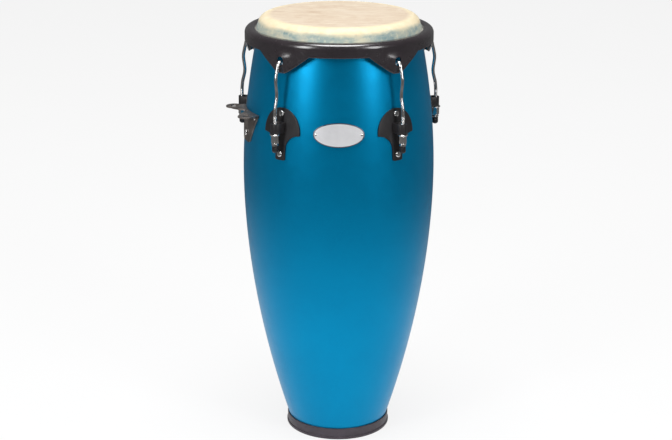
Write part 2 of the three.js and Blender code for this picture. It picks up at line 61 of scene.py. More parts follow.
# The CAD's driving sizes, in millimetres.
SHELL_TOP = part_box("shell")[1][2] / MM
BELLY_Z, BELLY_R, HEAD_R, FOOT_R = 500, 174.2, 139.7, 86.8
LOWER_POWER, UPPER_POWER = 1.9, 1.93
WALL, EDGE_R, EDGE_WALL = 6.5, 15.5, 17.5
FOOT_FLOOR, FOOT_HEIGHT, FOOT_OUTER_R, FOOT_BORE_R = 4, 21, 97, 81
GAP, SKIN, LAP_R, LAP_Z, HOOP_WIRE_R = 0.3, 1.8, 158, 756.6, 3.2
RIM_TOP, RIM_BOTTOM, RIM_OUTER_R, RIM_INNER_R, RIM_SHEET = 766.5, 742, 169.2, 149.8, 2.4
EAR_ROOT, EAR_TIP, EAR_TIP_Z, HOLE_HALF, HOLE_TOP, HOLE_LOW = 54, 13, 710.5, 6, 739.5, 724.9
ROD_R, SHANK_R, ROD_REACH, ROD_END, THREAD_TOP = 3.175, 3.05, 188, 578.5, 638
BEND_R, BEND_REACH, BEND_Z, PITCH = 8.5, 171, 722, 1.27
PLATE, PLATE_HALF, PLATE_ARCH_Z, PLATE_WING_Z, PLATE_FOOT_Z, STEM_HALF = 2.5, 37.5, 648.5, 604.5, 556.5, 10
STRAP_TOP, STRAP_BOTTOM, STRAP_HALF, STRAP_REACH, STRAP_SHEET = 624, 606.5, 9, 194.5, 2.6
SCREW_HEIGHTS, SCREW_R, SCREW_HEAD_R = (567.5, 638.7), 2.5, 5.2
FLANGE_R, FLANGE, HEX_FLATS, HEX_LENGTH, COLLAR_R, COLLAR = 9.1, 2.8, 12.7, 13.5, 6.3, 4.7
CAP_R, CAP_LENGTH = 5.65, 13
BRACKET_AZ, BRACKET_SHEET, BRACKET_TOP, BRACKET_FOOT_Z, BRACKET_HALF = -72, 2.5, 624, 568, 47
EAR_T, EAR_REACH, EAR_R, BRACKET_HOLE_R, NOTCH_REACH = 41, 185.5, 14.5, 6, 174
BRACKET_FOOT_HALF, CORNER_HEAD_R = 21, 3.4
BRACKET_SCREWS = ((-34.5, 616.4), (34.5, 616.4), (0, 583.5))
BADGE_HALF, BADGE_Z, BADGE_SHEET, BADGE_PIN_T = (44.4, 21.2), 608, 1.4, 39.7

# Sizes of the looks alone, in millimetres and degrees.
EAR_BULGE, EAR_BULGE_REACH = 4.6, 24
EAR_SWEEP, EAR_STEPS, SPAN_STEPS = 19.5, 48, 20  # each ear is meshed finely, the span between coarsely
HOLE_CORNER = 3.4
STEM_CORNER, WING_DROP = 3, 28
SHARP, BEVEL_SHARP = 32, 50


def shell_r(z):
    """Outer radius of the shell at a height."""
    if z < BELLY_Z:
        return BELLY_R - (BELLY_R - FOOT_R) * ((BELLY_Z - z) / BELLY_Z) ** LOWER_POWER
    return BELLY_R - (BELLY_R - HEAD_R) * ((z - BELLY_Z) / (SHELL_TOP - BELLY_Z)) ** UPPER_POWER


def polar(r, azimuth, z):
    """A point at a radius, an azimuth in degrees from the front, and a height, in metres."""
    a = rad(azimuth)
    return Vector((r * math.sin(a), -r * math.cos(a), z)) * MM + AXIS


def turn(azimuth):
    """Frame of a fitting in metres: +X out from the drum's axis, +Y along the rim."""
    return Matrix.Translation(AXIS) @ Matrix.Rotation(rad(azimuth - 90), 4, "Z")


def seat(azimuth, z, along=0.0):
    """Frame of a screw: +X out along the shell's normal, at its outer face."""
    tilt = math.atan2(shell_r(z - 1) - shell_r(z + 1), 2)
    return (
        turn(azimuth + math.degrees(along / shell_r(z)))
        @ Matrix.Translation(Vector((shell_r(z), 0, z)) * MM)
        @ Matrix.Rotation(-tilt, 4, "Y")
    )


# ---- materials ------------------------------------------------------------------------------
class Nodes:
    """A material's node tree with short calls for the nodes that repeat."""

    def __init__(self, name, color, roughness, metallic=0.0, **sockets):
        self.material = bpy.data.materials.new(name)
        self.material.use_nodes = True
        self.tree = self.material.node_tree
        self.shader = self.tree.nodes["Principled BSDF"]
        self.set("Base Color", (*color, 1))
        self.set("Roughness", roughness)
        self.set("Metallic", metallic)
        for socket, value in sockets.items():
            self.set(socket.replace("_", " "), value)
        self.place = self.node("ShaderNodeTexCoord").outputs["Object"]

    def set(self, socket, value):
        self.shader.inputs[socket].default_value = value

    def node(self, kind, **values):
        made = self.tree.nodes.new(kind)
        for key, value in values.items():
            setattr(made, key, value)
        return made

    def link(self, a, b):
        self.tree.links.new(a, b)

    def scaled(self, scale, vector=None):
        made = self.node("ShaderNodeMapping")
        made.inputs["Scale"].default_value = scale
        self.link(vector or self.place, made.inputs["Vector"])
        return made.outputs["Vector"]

    def noise(self, scale, detail=4.0, rough=0.55, vector=None, distortion=0.0):
        made = self.node("ShaderNodeTexNoise")
        made.inputs["Scale"].default_value = scale
        made.inputs["Detail"].default_value = detail
        made.inputs["Roughness"].default_value = rough
        made.inputs["Distortion"].default_value = distortion
        self.link(vector or self.place, made.inputs["Vector"])
        return made.outputs["Fac"]

    def ramp(self, fac, *stops):
        made = self.node("ShaderNodeValToRGB")
        ramp = made.color_ramp
        while len(ramp.elements) < len(stops):
            ramp.elements.new(0.5)
        for element, (at, color) in zip(ramp.elements, stops):
            element.position = at
            element.color = (*color, 1) if len(color) == 3 else color
        self.link(fac, made.inputs["Fac"])
        return made.outputs["Color"]

    def range(self, value, low, high, to_low=0.0, to_high=1.0):
        made = self.node("ShaderNodeMapRange")
        made.clamp = True
        for key, number in zip(("From Min", "From Max", "To Min", "To Max"), (low, high, to_low, to_high)):
            made.inputs[key].default_value = number
        self.link(value, made.inputs["Value"])
        return made.outputs["Result"]

    def math(self, operation, a, b=None):
        made = self.node("ShaderNodeMath", operation=operation)
        for slot, value in zip(made.inputs, (a, b)):
            if isinstance(value, (int, float)):
                slot.default_value = value
            elif value is not None:
                self.link(value, slot)
        return made.outputs["Value"]

    def mix(self, fac, a, b):
        made = self.node("ShaderNodeMix", data_type="RGBA")
        # This node keeps its colour sockets behind those of its other data types.
        for index, value in ((0, fac), (6, a), (7, b)):
            if isinstance(value, (int, float)):
                made.inputs[index].default_value = value
            elif isinstance(value, tuple):
                made.inputs[index].default_value = (*value, 1)
            else:
                self.link(value, made.inputs[index])
        return made.outputs[2]

    def color(self, value):
        self.link(value, self.shader.inputs["Base Color"])

    def roughness(self, value):
        self.link(value, self.shader.inputs["Roughness"])

    def bump(self, height, strength, distance):
        made = self.node("ShaderNodeBump")
        made.inputs["Strength"].default_value = strength
        made.inputs["Distance"].default_value = distance
        self.link(height, made.inputs["Height"])
        earlier = self.shader.inputs["Normal"].links
        if earlier:
            self.link(earlier[0].from_socket, made.inputs["Normal"])
        self.link(made.outputs["Normal"], self.shader.inputs["Normal"])


def lacquer():
    gloss = {"Specular_IOR_Level": 0.05, "Coat_Weight": 0.06, "Coat_Roughness": 0.3}
    n = Nodes("blue_lacquer", (0.0, 0.28, 0.5), 0.36, 0.7, **gloss)
    flake = n.noise(1500, 2, 0.6)
    cloud = n.noise(9, 3, 0.5)
    deep = n.ramp(cloud, (0.3, (0.0, 0.225, 0.47)), (0.7, (0.0, 0.255, 0.52)))
    n.color(n.mix(n.range(flake, 0.42, 0.7), deep, (0.0, 0.33, 0.6)))
    n.roughness(n.range(n.noise(60, 4), 0.3, 0.7, 0.34, 0.4))
    n.bump(flake, 0.05, 0.0004)
    n.bump(n.noise(140, 3), 0.035, 0.001)
    return n.material


def skin():
    n = Nodes("drum_skin", (0.82, 0.7, 0.5), 0.55, 0.0, Sheen_Weight=0.15, Sheen_Roughness=0.5)
    split = n.node("ShaderNodeSeparateXYZ")
    n.link(n.place, split.inputs["Vector"])
    height = split.outputs["Z"]
    centred = n.node("ShaderNodeVectorMath", operation="SUBTRACT")
    n.link(n.place, centred.inputs[0])
    centred.inputs[1].default_value = AXIS
    flat = n.node("ShaderNodeVectorMath", operation="MULTIPLY")
    n.link(centred.outputs["Vector"], flat.inputs[0])
    flat.inputs[1].default_value = (1, 1, 0)
    length = n.node("ShaderNodeVectorMath", operation="LENGTH")
    n.link(flat.outputs["Vector"], length.inputs[0])
    away = length.outputs["Value"]
    # Long fibres across the top, short ones on the collar.
    fibre = n.noise(38, 8, 0.72, n.scaled((1.0, 3.4, 3.0)), 0.6)
    speck = n.noise(420, 5, 0.7)
    cloud = n.noise(11, 5, 0.6, n.scaled((1.0, 2.2, 1.0)), 0.8)
    dark, middle, pale = (0.58, 0.42, 0.28), (0.67, 0.52, 0.37), (0.75, 0.63, 0.49)
    tan = n.ramp(cloud, (0.3, dark), (0.5, middle), (0.72, pale))
    tan = n.mix(n.range(fibre, 0.38, 0.66), tan, (0.8, 0.69, 0.54))
    tan = n.mix(n.range(speck, 0.56, 0.78, 0.0, 0.55), tan, (0.56, 0.38, 0.24))
    # The cream band over the edge is paler, thinner skin and partly a painted highlight where the skin
    # turns towards the softboxes.
    cream_and_highlight = n.ramp(n.noise(60, 6, 0.7), (0.3, (0.84, 0.68, 0.42)), (0.7, (0.88, 0.8, 0.58)))
    side = n.ramp(
        n.noise(16, 6, 0.66, n.scaled((1.0, 1.0, 2.2)), 0.6),
        (0.36, (0.62, 0.6, 0.46)),
        (0.5, (0.38, 0.46, 0.42)),
        (0.62, (0.2, 0.32, 0.34)),
    )
    side = n.mix(n.range(n.noise(120, 7, 0.75), 0.5, 0.66, 0.0, 0.75), side, (0.72, 0.7, 0.52))
    wobble = n.math("MULTIPLY", n.math("SUBTRACT", n.noise(22, 4), 0.5), 0.012)
    # Where the cream band, with its painted highlight, covers the tan top.
    edge = n.range(n.math("ADD", away, wobble), 0.119, 0.131)
    low = n.range(n.math("ADD", height, wobble), 0.781, 0.774)
    base = n.mix(edge, tan, cream_and_highlight)
    base = n.mix(low, base, side)
    rawhide = n.range(n.math("ADD", height, n.math("MULTIPLY", wobble, 0.12)), 0.7645, 0.7632)
    n.color(n.mix(rawhide, base, (0.8, 0.76, 0.66)))
    n.roughness(n.range(fibre, 0.3, 0.7, 0.46, 0.66))
    n.bump(fibre, 0.25, 0.0009)
    n.bump(speck, 0.12, 0.0004)
    return n.material


def satin(name, color, roughness, metallic=0.0, grain=700, depth=0.06, light=1.5, **sockets):
    """A painted, moulded or plated surface: fine grain, cloudy gloss and a little tone."""
    n = Nodes(name, color, roughness, metallic, **sockets)
    cloud = n.noise(35, 5, 0.6)
    paler = tuple(min(1.0, c * light) for c in color)
    n.color(n.ramp(cloud, (0.35, color), (0.75, paler)))
    n.roughness(n.range(n.noise(90, 5), 0.3, 0.7, roughness * 0.86, roughness * 1.16))
    n.bump(n.noise(grain, 4, 0.6), depth, 0.0005)
    return n.material


def worn_steel():
    n = Nodes("bracket_steel", (0.17, 0.15, 0.14), 0.42, 0.75)
    stain = n.noise(45, 6, 0.68, None, 0.5)
    dark, brown, pale = (0.1, 0.09, 0.088), (0.2, 0.175, 0.16), (0.32, 0.29, 0.27)
    n.color(n.ramp(stain, (0.3, dark), (0.52, brown), (0.75, pale)))
    n.roughness(n.range(stain, 0.3, 0.7, 0.34, 0.55))
    n.bump(n.noise(500, 5, 0.65), 0.1, 0.0005)
    return n.material


LACQUER = lacquer()
SKIN_LOOK = skin()
INNER = satin("inner_wall", (0.13, 0.12, 0.11), 0.75, 0.0, 260, 0.3, 1.4)
RIM_GLOSS = {"Specular_IOR_Level": 0.9, "Coat_Weight": 0.5, "Coat_Roughness": 0.16}
RIM_BLACK = satin("rim_black", (0.022, 0.017, 0.02), 0.24, 0.0, 900, 0.03, 1.4, **RIM_GLOSS)
HARD_BLACK = satin("hardware_black", (0.013, 0.012, 0.013), 0.42, 0.0, 1100, 0.09, 1.8)
CAP_BLACK = satin("cap_black", (0.014, 0.013, 0.014), 0.34, 0.0, 600, 0.05, 1.6)
RUBBER = satin("foot_rubber", (0.052, 0.04, 0.05), 0.5, 0.0, 500, 0.1, 1.5, Sheen_Weight=0.2)
CHROME = satin("chrome", (0.82, 0.81, 0.8), 0.2, 1.0, 400, 0.015, 1.1)
ZINC = satin("zinc", (0.5, 0.5, 0.49), 0.36, 1.0, 700, 0.08, 1.25)
BADGE_FACE = satin("badge_face", (0.8, 0.8, 0.82), 0.34, 0.35, 500, 0.03, 1.15)
BADGE_RIM = satin("badge_rim", (0.2, 0.2, 0.22), 0.3, 0.9, 500, 0.03, 1.3)
BRACKET = worn_steel()


# ---- mesh tools -----------------------------------------------------------------------------
def publish(obj, body, stands_for=()):
    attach(obj, body)
    if stands_for:
        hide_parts(*stands_for)
    return obj


def mesh_object(name, points, faces, material, matrix=None, sharp=SHARP):
    """A mesh from points in metres; edges past the sharp angle keep their corner."""
    mesh = bpy.data.meshes.new(name)
    mesh.from_pydata([tuple(p) for p in points], [], faces)
    tidy = bmesh.new()
    tidy.from_mesh(mesh)
    bmesh.ops.remove_doubles(tidy, verts=tidy.verts, dist=1e-7)
    bmesh.ops.recalc_face_normals(tidy, faces=tidy.faces)
    tidy.to_mesh(mesh)
    tidy.free()
    if matrix is not None:
        mesh.transform(matrix)
    mesh.materials.append(material)
    mesh.shade_smooth()
    mesh.set_sharp_from_angle(angle=rad(sharp))
    obj = bpy.data.objects.new(name, mesh)
    bpy.context.scene.collection.objects.link(obj)
    return obj


def grid_faces(rows, columns, wrap_rows=False, wrap_columns=True):
    """Quads over rows of equally many points, with rows or columns closed on themselves."""
    faces = []
    for i in range(rows if wrap_rows else rows - 1):
        for j in range(columns if wrap_columns else columns - 1):
            a, b = i * columns + j, i * columns + (j + 1) % columns
            k = (i + 1) % rows * columns
            faces.append((a, b, k + (j + 1) % columns, k + j))
    return faces


def lathe(name, profile, material, closed=True, segments=192, sharp=SHARP):
    """A [radius, height] profile in millimetres turned about the drum's axis."""
    points = [polar(r, 360 * j / segments, z) for r, z in profile for j in range(segments)]
    return mesh_object(name, points, grid_faces(len(profile), segments, closed), material, None, sharp)


def arc(cx, cy, r, start, end, steps):
    """Points of a circle's arc between two angles in degrees."""
    angles = [rad(start + (end - start) * i / steps) for i in range(steps + 1)]
    return [(cx + r * math.cos(a), cy + r * math.sin(a)) for a in angles]


def quadratic(p0, p1, p2, u):
    """A point of the curve that leaves p0 towards p1 and ends at p2."""
    return tuple((1 - u) ** 2 * a + 2 * u * (1 - u) * b + u * u * c for a, b, c in zip(p0, p1, p2))


def loft(base, size):
    """The sides between two outlines of size points that follow each other from base."""
    return [
        (base + i, base + (i + 1) % size, base + size + (i + 1) % size, base + size + i)
        for i in range(size)
    ]


def apply_modifiers(obj, *drop):
    """Replaces obj's mesh by its evaluated one, and removes the helper objects."""
    graph = bpy.context.evaluated_depsgraph_get()
    mesh = bpy.data.meshes.new_from_object(obj.evaluated_get(graph))
    obj.modifiers.clear()
    obj.data = mesh
    for helper in drop:
        bpy.data.objects.remove(helper)
    return obj


def cut(obj, cutter):
    """Takes the cutter's solid out of obj and removes the cutter."""
    tool = obj.modifiers.new("cut", "BOOLEAN")
    tool.operation, tool.solver, tool.object = "DIFFERENCE", "EXACT", cutter
    apply_modifiers(obj, cutter)
    obj.data.set_sharp_from_angle(angle=rad(SHARP))


def bevel(obj, width, segments=2, angle=35):
    tool = obj.modifiers.new("bevel", "BEVEL")
    tool.width, tool.segments, tool.limit_method = width * MM, segments, "ANGLE"
    tool.angle_limit = rad(angle)
    apply_modifiers(obj)
    obj.data.shade_smooth()
    obj.data.set_sharp_from_angle(angle=rad(BEVEL_SHARP))


def spun(name, profile, material, segments=40, matrix=None):
    """A [radius, along] profile turned about +X, in millimetres."""
    points = []
    for r, x in profile:
        for j in range(segments):
            a = 2 * math.pi * j / segments
            points.append(Vector((x, r * math.cos(a), r * math.sin(a))) * MM)
    return mesh_object(name, points, grid_faces(len(profile), segments), material, matrix)


UPRIGHT = Matrix.Rotation(rad(-90), 4, "Y")  # turns +X to +Z


def slab(name, outline, holes, low, high, material, matrix):
    """A flat plate from a plan outline with round holes, in millimetres."""
    made = bmesh.new()
    edges = []
    for loop in [outline, *holes]:
        verts = [made.verts.new(Vector((x, y, low)) * MM) for x, y in loop]
        edges += [made.edges.new((verts[i - 1], verts[i])) for i in range(len(verts))]
    bmesh.ops.triangle_fill(made, use_beauty=True, use_dissolve=False, edges=edges)
    top = bmesh.ops.extrude_face_region(made, geom=list(made.faces))
    moved = [v for v in top["geom"] if isinstance(v, bmesh.types.BMVert)]
    bmesh.ops.translate(made, verts=moved, vec=(0, 0, (high - low) * MM))
    bmesh.ops.recalc_face_normals(made, faces=made.faces)
    mesh = bpy.data.meshes.new(name)
    made.to_mesh(mesh)
    made.free()
    mesh.transform(matrix)
    mesh.materials.append(material)
    obj = bpy.data.objects.new(name, mesh)
    bpy.context.scene.collection.objects.link(obj)
    return obj


def shell_sheet(name, rows, azimuth, inner, outer, material, columns=20):
    """A sheet on the shell from rows of (height, left, right), distances along the rim in millimetres."""
    points = []
    for offset in (outer, inner):
        for z, left, right in rows:
            slope = math.atan2(shell_r(z - 1) - shell_r(z + 1), 2)
            for j in range(columns):
                t = left + (right - left) * j / (columns - 1)
                r = shell_r(z) + offset * math.cos(slope)
                at = azimuth + math.degrees(t / shell_r(z))
                points.append(polar(r, at, z + offset * math.sin(slope)))
    count = len(rows)
    faces = grid_faces(count, columns, False, False)
    back = count * columns
    faces += [tuple(v + back for v in reversed(face)) for face in faces]
    border = [*range(columns)]
    border += [i * columns + columns - 1 for i in range(1, count)]
    border += [(count - 1) * columns + j for j in range(columns - 2, -1, -1)]
    border += [i * columns for i in range(count - 2, 0, -1)]
    for i, v in enumerate(border):
        w = border[(i + 1) % len(border)]
        faces.append((v, w, w + back, v + back))
    return mesh_object(name, points, faces, material, None, 40)


# ---- shell, foot and head -------------------------------------------------------------------
EDGE_Z = SHELL_TOP - EDGE_R
EDGE_MIDDLE = shell_r(EDGE_Z) - EDGE_R


def make_shell():
    foot = FOOT_FLOOR + GAP
    heights = [foot + (EDGE_Z - foot) * i / 96 for i in range(97)]
    outside = [(shell_r(z), z) for z in heights]
    edge = arc(EDGE_MIDDLE, EDGE_Z, EDGE_R, 0, 90, 8)[1:]
    lining = shell_r(EDGE_Z) - EDGE_WALL
    crest = arc(lining + 2.5, SHELL_TOP - 2.5, 2.5, 90, 180, 4)
    inside = [(shell_r(z) - WALL, z) for z in heights[:-8:3]]
    profile = outside + edge + crest + [(lining, EDGE_Z)] + inside[::-1]
    shell = lathe("shell_wall", profile, LACQUER, True, 256)
    shell.data.materials.append(INNER)
    for face in shell.data.polygons:
        middle = face.center - AXIS
        out = Vector((middle.x, middle.y, 0))
        if face.normal.dot(out.normalized()) < -0.2 or middle.z < (foot + 0.1) * MM:
            face.material_index = 1
    publish(shell, "drum", ["shell"])


def make_foot():
    wall = [(shell_r(z) + GAP, z) for z in (21, 15, 9.5, FOOT_FLOOR)]
    lip = shell_r(FOOT_HEIGHT) + GAP + 1.3
    outer = FOOT_OUTER_R
    profile = (
        [(FOOT_BORE_R + 0.8, 0)]
        + arc(outer - 1.6, 1.6, 1.6, -90, 0, 5)
        + arc(outer - 0.9, 4.4, 0.9, 0, 90, 4)
        + [(outer - 1.3, 5.5), (outer - 1.25, 6.4), (lip + 0.55, 17.5)]
        + arc(lip - 0.55, FOOT_HEIGHT - 1.1, 1.1, 12, 90, 4)
        + wall
        + [(FOOT_BORE_R, FOOT_FLOOR), (FOOT_BORE_R, 0.8)]
    )
    publish(lathe("foot_bumper", profile, RUBBER, True, 224, 40), "drum", ["foot_ring"])


def skin_line():
    """Middle of the skin from the drum's axis, over the edge and round its hoop."""
    over, lap = EDGE_R + GAP + SKIN / 2, HOOP_WIRE_R + GAP + SKIN / 2
    top = EDGE_Z + over
    line = [(r, top) for r in (0.5, 8, 18, 30, 42, 54, 66, 78, 90, 100, 108, 114, 119, 123)]
    line += arc(EDGE_MIDDLE, EDGE_Z, over, 90, 20, 12)
    last, collar = line[-1], (RIM_INNER_R - 0.5 - SKIN / 2, RIM_TOP - 5)
    for part in (0.2, 0.4, 0.6, 0.8, 1.0):
        line.append(tuple(a + (b - a) * part for a, b in zip(last, collar)))
    return line + arc(LAP_R, LAP_Z, lap, 196, 380, 14)


def make_skin():
    line = skin_line()
    sides = []
    for offset in (SKIN / 2, -SKIN / 2):
        side = []
        for i, point in enumerate(line):
            before, after = Vector(line[max(i - 1, 0)]), Vector(line[min(i + 1, len(line) - 1)])
            run = (after - before).normalized()
            side.append((point[0] - run.y * offset, point[1] + run.x * offset))
        sides.append(side)
    profile = sides[0] + sides[1][::-1]
    segments = 240
    points = []
    for r, z in profile:
        for j in range(segments):
            point = polar(r, 360 * j / segments, z)
            around = rad(360 * j / segments)
            # The collar is folded and rippled; the flat top only sinks a little in places.
            collar = min(1.0, max(0.0, (782 - z) / 14))
            ripple = 0.16 * noise.noise(point * 55) + 0.05 * noise.noise(point * 170)
            ring = Vector((30 * math.cos(around), 30 * math.sin(around), 0))
            fold = 0.28 * collar * noise.noise(ring)
            out = Vector((point.x - AXIS.x, point.y - AXIS.y, 0)).normalized()
            sink = min(0, ripple * (1 - collar))
            points.append(point + out * (fold + ripple * collar) * MM + Vector((0, 0, sink * MM)))
    count = len(profile)
    faces = grid_faces(count, segments)
    faces.append(tuple(range(segments)))
    faces.append(tuple(range((count - 1) * segments, count * segments)))
    made = mesh_object("skin_head", points, faces, SKIN_LOOK, None, 60)
    tuple(polar(0, 0, 784))
    tuple(polar(0, 0, 761))
    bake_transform(made)
    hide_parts("head_skin")


def make_hoop():
    profile = arc(LAP_R, LAP_Z, HOOP_WIRE_R, 0, 330, 11)
    publish(lathe("flesh_ring", profile, ZINC, True, 120), "tension_hoop", ["flesh_hoop"])


# ---- rim with its ears ----------------------------------------------------------------------
def ear_low(t):
    """Height of the rim's lower edge at a distance along the rim from an ear's middle."""
    t = abs(t)
    if t >= EAR_ROOT:
        return RIM_BOTTOM
    if t <= EAR_TIP:
        return EAR_TIP_Z + 2.5 * smooth((t - EAR_TIP / 2) / (EAR_TIP / 2)) ** 1.5
    p0, p2 = (EAR_TIP, EAR_TIP_Z + 2.5), (EAR_ROOT, RIM_BOTTOM)
    p1 = ((p0[0] + p2[0]) / 2 + 4, (p0[1] + p2[1]) / 2 + 1.5)
    low, high = 0.0, 1.0
    for _ in range(30):
        u = (low + high) / 2
        low, high = (u, high) if quadratic(p0, p1, p2, u)[0] < t else (low, u)
    return quadratic(p0, p1, p2, u)[1]


def smooth(x):
    x = min(1.0, max(0.0, x))
    return x * x * (3 - 2 * x)


def tent(t, z):
    """How far the pressed ear stands out round its hole."""
    ridge = max(0.0, 1 - math.hypot(t, 3.0) / EAR_BULGE_REACH)
    return EAR_BULGE * ridge * smooth((750 - z) / 12) * (1 - 0.3 * smooth((726 - z) / 14))


def rim_angles():
    """Azimuths round the rim, close together across each ear."""
    angles = []
    span = 360 / len(LUGS) - 2 * EAR_SWEEP
    for lug in sorted(LUGS):
        angles += [lug + EAR_SWEEP * (i / EAR_STEPS) for i in range(-EAR_STEPS, EAR_STEPS + 1)]
        angles += [lug + EAR_SWEEP + span * i / SPAN_STEPS for i in range(1, SPAN_STEPS)]
    return angles


def make_rim():
    inner = RIM_OUTER_R - RIM_SHEET
    crown = (
        [(RIM_INNER_R + 2.2, RIM_TOP - 4.8), (RIM_INNER_R + 1.0, RIM_TOP - 5.0)]
        + [(RIM_INNER_R + 0.1, RIM_TOP - 4.4)]
        + arc(RIM_INNER_R + 4.6, RIM_TOP - 4.6, 4.6, 170, 100, 7)
        + [(RIM_INNER_R + 7.5, RIM_TOP)]
        + arc(RIM_OUTER_R - 9.6, RIM_TOP - 9.6, 9.6, 84, 4, 14)
    )
    skirt_steps = 16
    points = []
    angles = rim_angles()
    for angle in angles:
        offset = min(((angle - lug + 180) % 360 - 180 for lug in LUGS), key=abs)
        t = rad(offset) * RIM_OUTER_R
        low = ear_low(t)
        ring = list(crown)
        top = crown[-1][1] - 0.5
        for i in range(skirt_steps):
            z = top + (low + 1.1 - top) * i / (skirt_steps - 1)
            ring.append((RIM_OUTER_R + tent(t, z), z))
        flare = tent(t, low)
        ring += [(RIM_OUTER_R - 0.35 + flare, low + 0.3), (RIM_OUTER_R - 1.2 + flare, low)]
        ring += [(inner + 0.4 + flare, low + 0.25)]
        for i in range(skirt_steps):
            z = low + 1.0 + (RIM_TOP - 10.5 - low - 1.0) * i / (skirt_steps - 1)
            ring.append((inner + tent(t, z), z))
        ring += [(inner - 3.4, RIM_TOP - 6.4), (RIM_INNER_R + 5.2, RIM_TOP - 6.4)]
        points += [polar(r, angle, z) for r, z in ring]
    count = len(ring)
    rim = mesh_object("rim_hoop", points, grid_faces(len(angles), count, True), RIM_BLACK, None, 42)
    cutters = []
    faces = []
    for lug in LUGS:
        outline = arc(0, HOLE_TOP - HOLE_HALF, HOLE_HALF, 0, 180, 14)
        for side, start in ((-1, 180), (1, 270)):
            middle = (side * (HOLE_HALF - HOLE_CORNER), HOLE_LOW + HOLE_CORNER)
            outline += arc(*middle, HOLE_CORNER, start, start + 90, 6)
        base = len(cutters)
        place = turn(lug)
        for reach in (RIM_OUTER_R - 6.0, RIM_OUTER_R + 12):
            cutters += [place @ (Vector((reach, t, z)) * MM) for t, z in outline]
        size = len(outline)
        faces += loft(base, size)
        faces += [tuple(base + i for i in range(size)), tuple(base + size + i for i in range(size))]
    cut(rim, mesh_object("holes", cutters, faces, RIM_BLACK))
    publish(rim, "tension_hoop", ["rim"])


# ---- hooks, nuts and caps -------------------------------------------------------------------
def hook_path():
    """Points of the bent rod in the plane of its lug, from the tip inside the rim to the thread."""
    inner, outer = BEND_REACH - BEND_R, BEND_REACH + BEND_R
    path = [(inner, BEND_Z - 10 + i * 2.5) for i in range(4)]
    path += arc(BEND_REACH, BEND_Z, BEND_R, 180, 0, 18)
    knots = [
        (outer, BEND_Z),
        (outer + 3, BEND_Z - 12),
        (outer + 4.8, BEND_Z - 25),
        (outer + 2.3, BEND_Z - 49),
        (ROD_REACH - 1.6, THREAD_TOP + 14),
        (ROD_REACH, THREAD_TOP),
    ]
    for i in range(len(knots) - 1):
        before, a = knots[max(i - 1, 0)], knots[i]
        b, after = knots[i + 1], knots[min(i + 2, len(knots) - 1)]
        for step in range(1, 7):
            u = step / 6
            path.append(
                tuple(
                    0.5
                    * (
                        2 * a[k]
                        + (b[k] - before[k]) * u
                        + (2 * before[k] - 5 * a[k] + 4 * b[k] - after[k]) * u * u
                        + (3 * a[k] - before[k] - 3 * b[k] + after[k]) * u**3
                    )
                    for k in (0, 1)
                )
            )
    return path


def make_hook(number, azimuth):
    path = hook_path()
    sides = 24
    points = []
    for i, (x, z) in enumerate(path):
        before, after = Vector(path[max(i - 1, 0)]), Vector(path[min(i + 1, len(path) - 1)])
        run = (after - before).normalized()
        normal = Vector((-run.y, 0, run.x))
        size = SHANK_R * (0.72 if i == 0 else 1)
        for j in range(sides):
            a = 2 * math.pi * j / sides
            q = Vector((x, 0, z)) + normal * size * math.cos(a) + Vector((0, size * math.sin(a), 0))
            points.append(q * MM)
    per_turn = 6
    steps = int((THREAD_TOP - ROD_END) / PITCH * per_turn)
    for i in range(1, steps + 1):
        z = THREAD_TOP - (THREAD_TOP - ROD_END) * i / steps
        fade = min(1.0, i / 8)
        for j in range(sides):
            phase = (z / PITCH - j / sides) % 1
            depth = (1 - abs(2 * phase - 1)) * 0.42 * fade
            a = -2 * math.pi * j / sides
            r = ROD_R - depth
            points.append(Vector((ROD_REACH - r * math.cos(a), r * math.sin(a), z)) * MM)
    rows = len(path) + steps
    faces = grid_faces(rows, sides)
    faces.append(tuple(range(sides)))
    faces.append(tuple(range((rows - 1) * sides, rows * sides)))
    hook = mesh_object(f"hook_rod_{number}", points, faces, CHROME, turn(azimuth), 40)
    publish(hook, "tension_hoop", [f"hook_{number}"])


NUT_TOP = STRAP_BOTTOM - GAP
HEX_TOP = NUT_TOP - FLANGE
HEX_BOTTOM = HEX_TOP - HEX_LENGTH
NUT_BOTTOM = HEX_BOTTOM - COLLAR
CAP_TOP = NUT_BOTTOM - GAP


def hex_radius(limit):
    """Radius at an angle of a hexagon across HEX_FLATS, no more than limit."""

    def at(angle):
        off = (math.degrees(angle) + 30) % 60 - 30
        return min(limit, HEX_FLATS / 2 / math.cos(rad(off)))

    return at


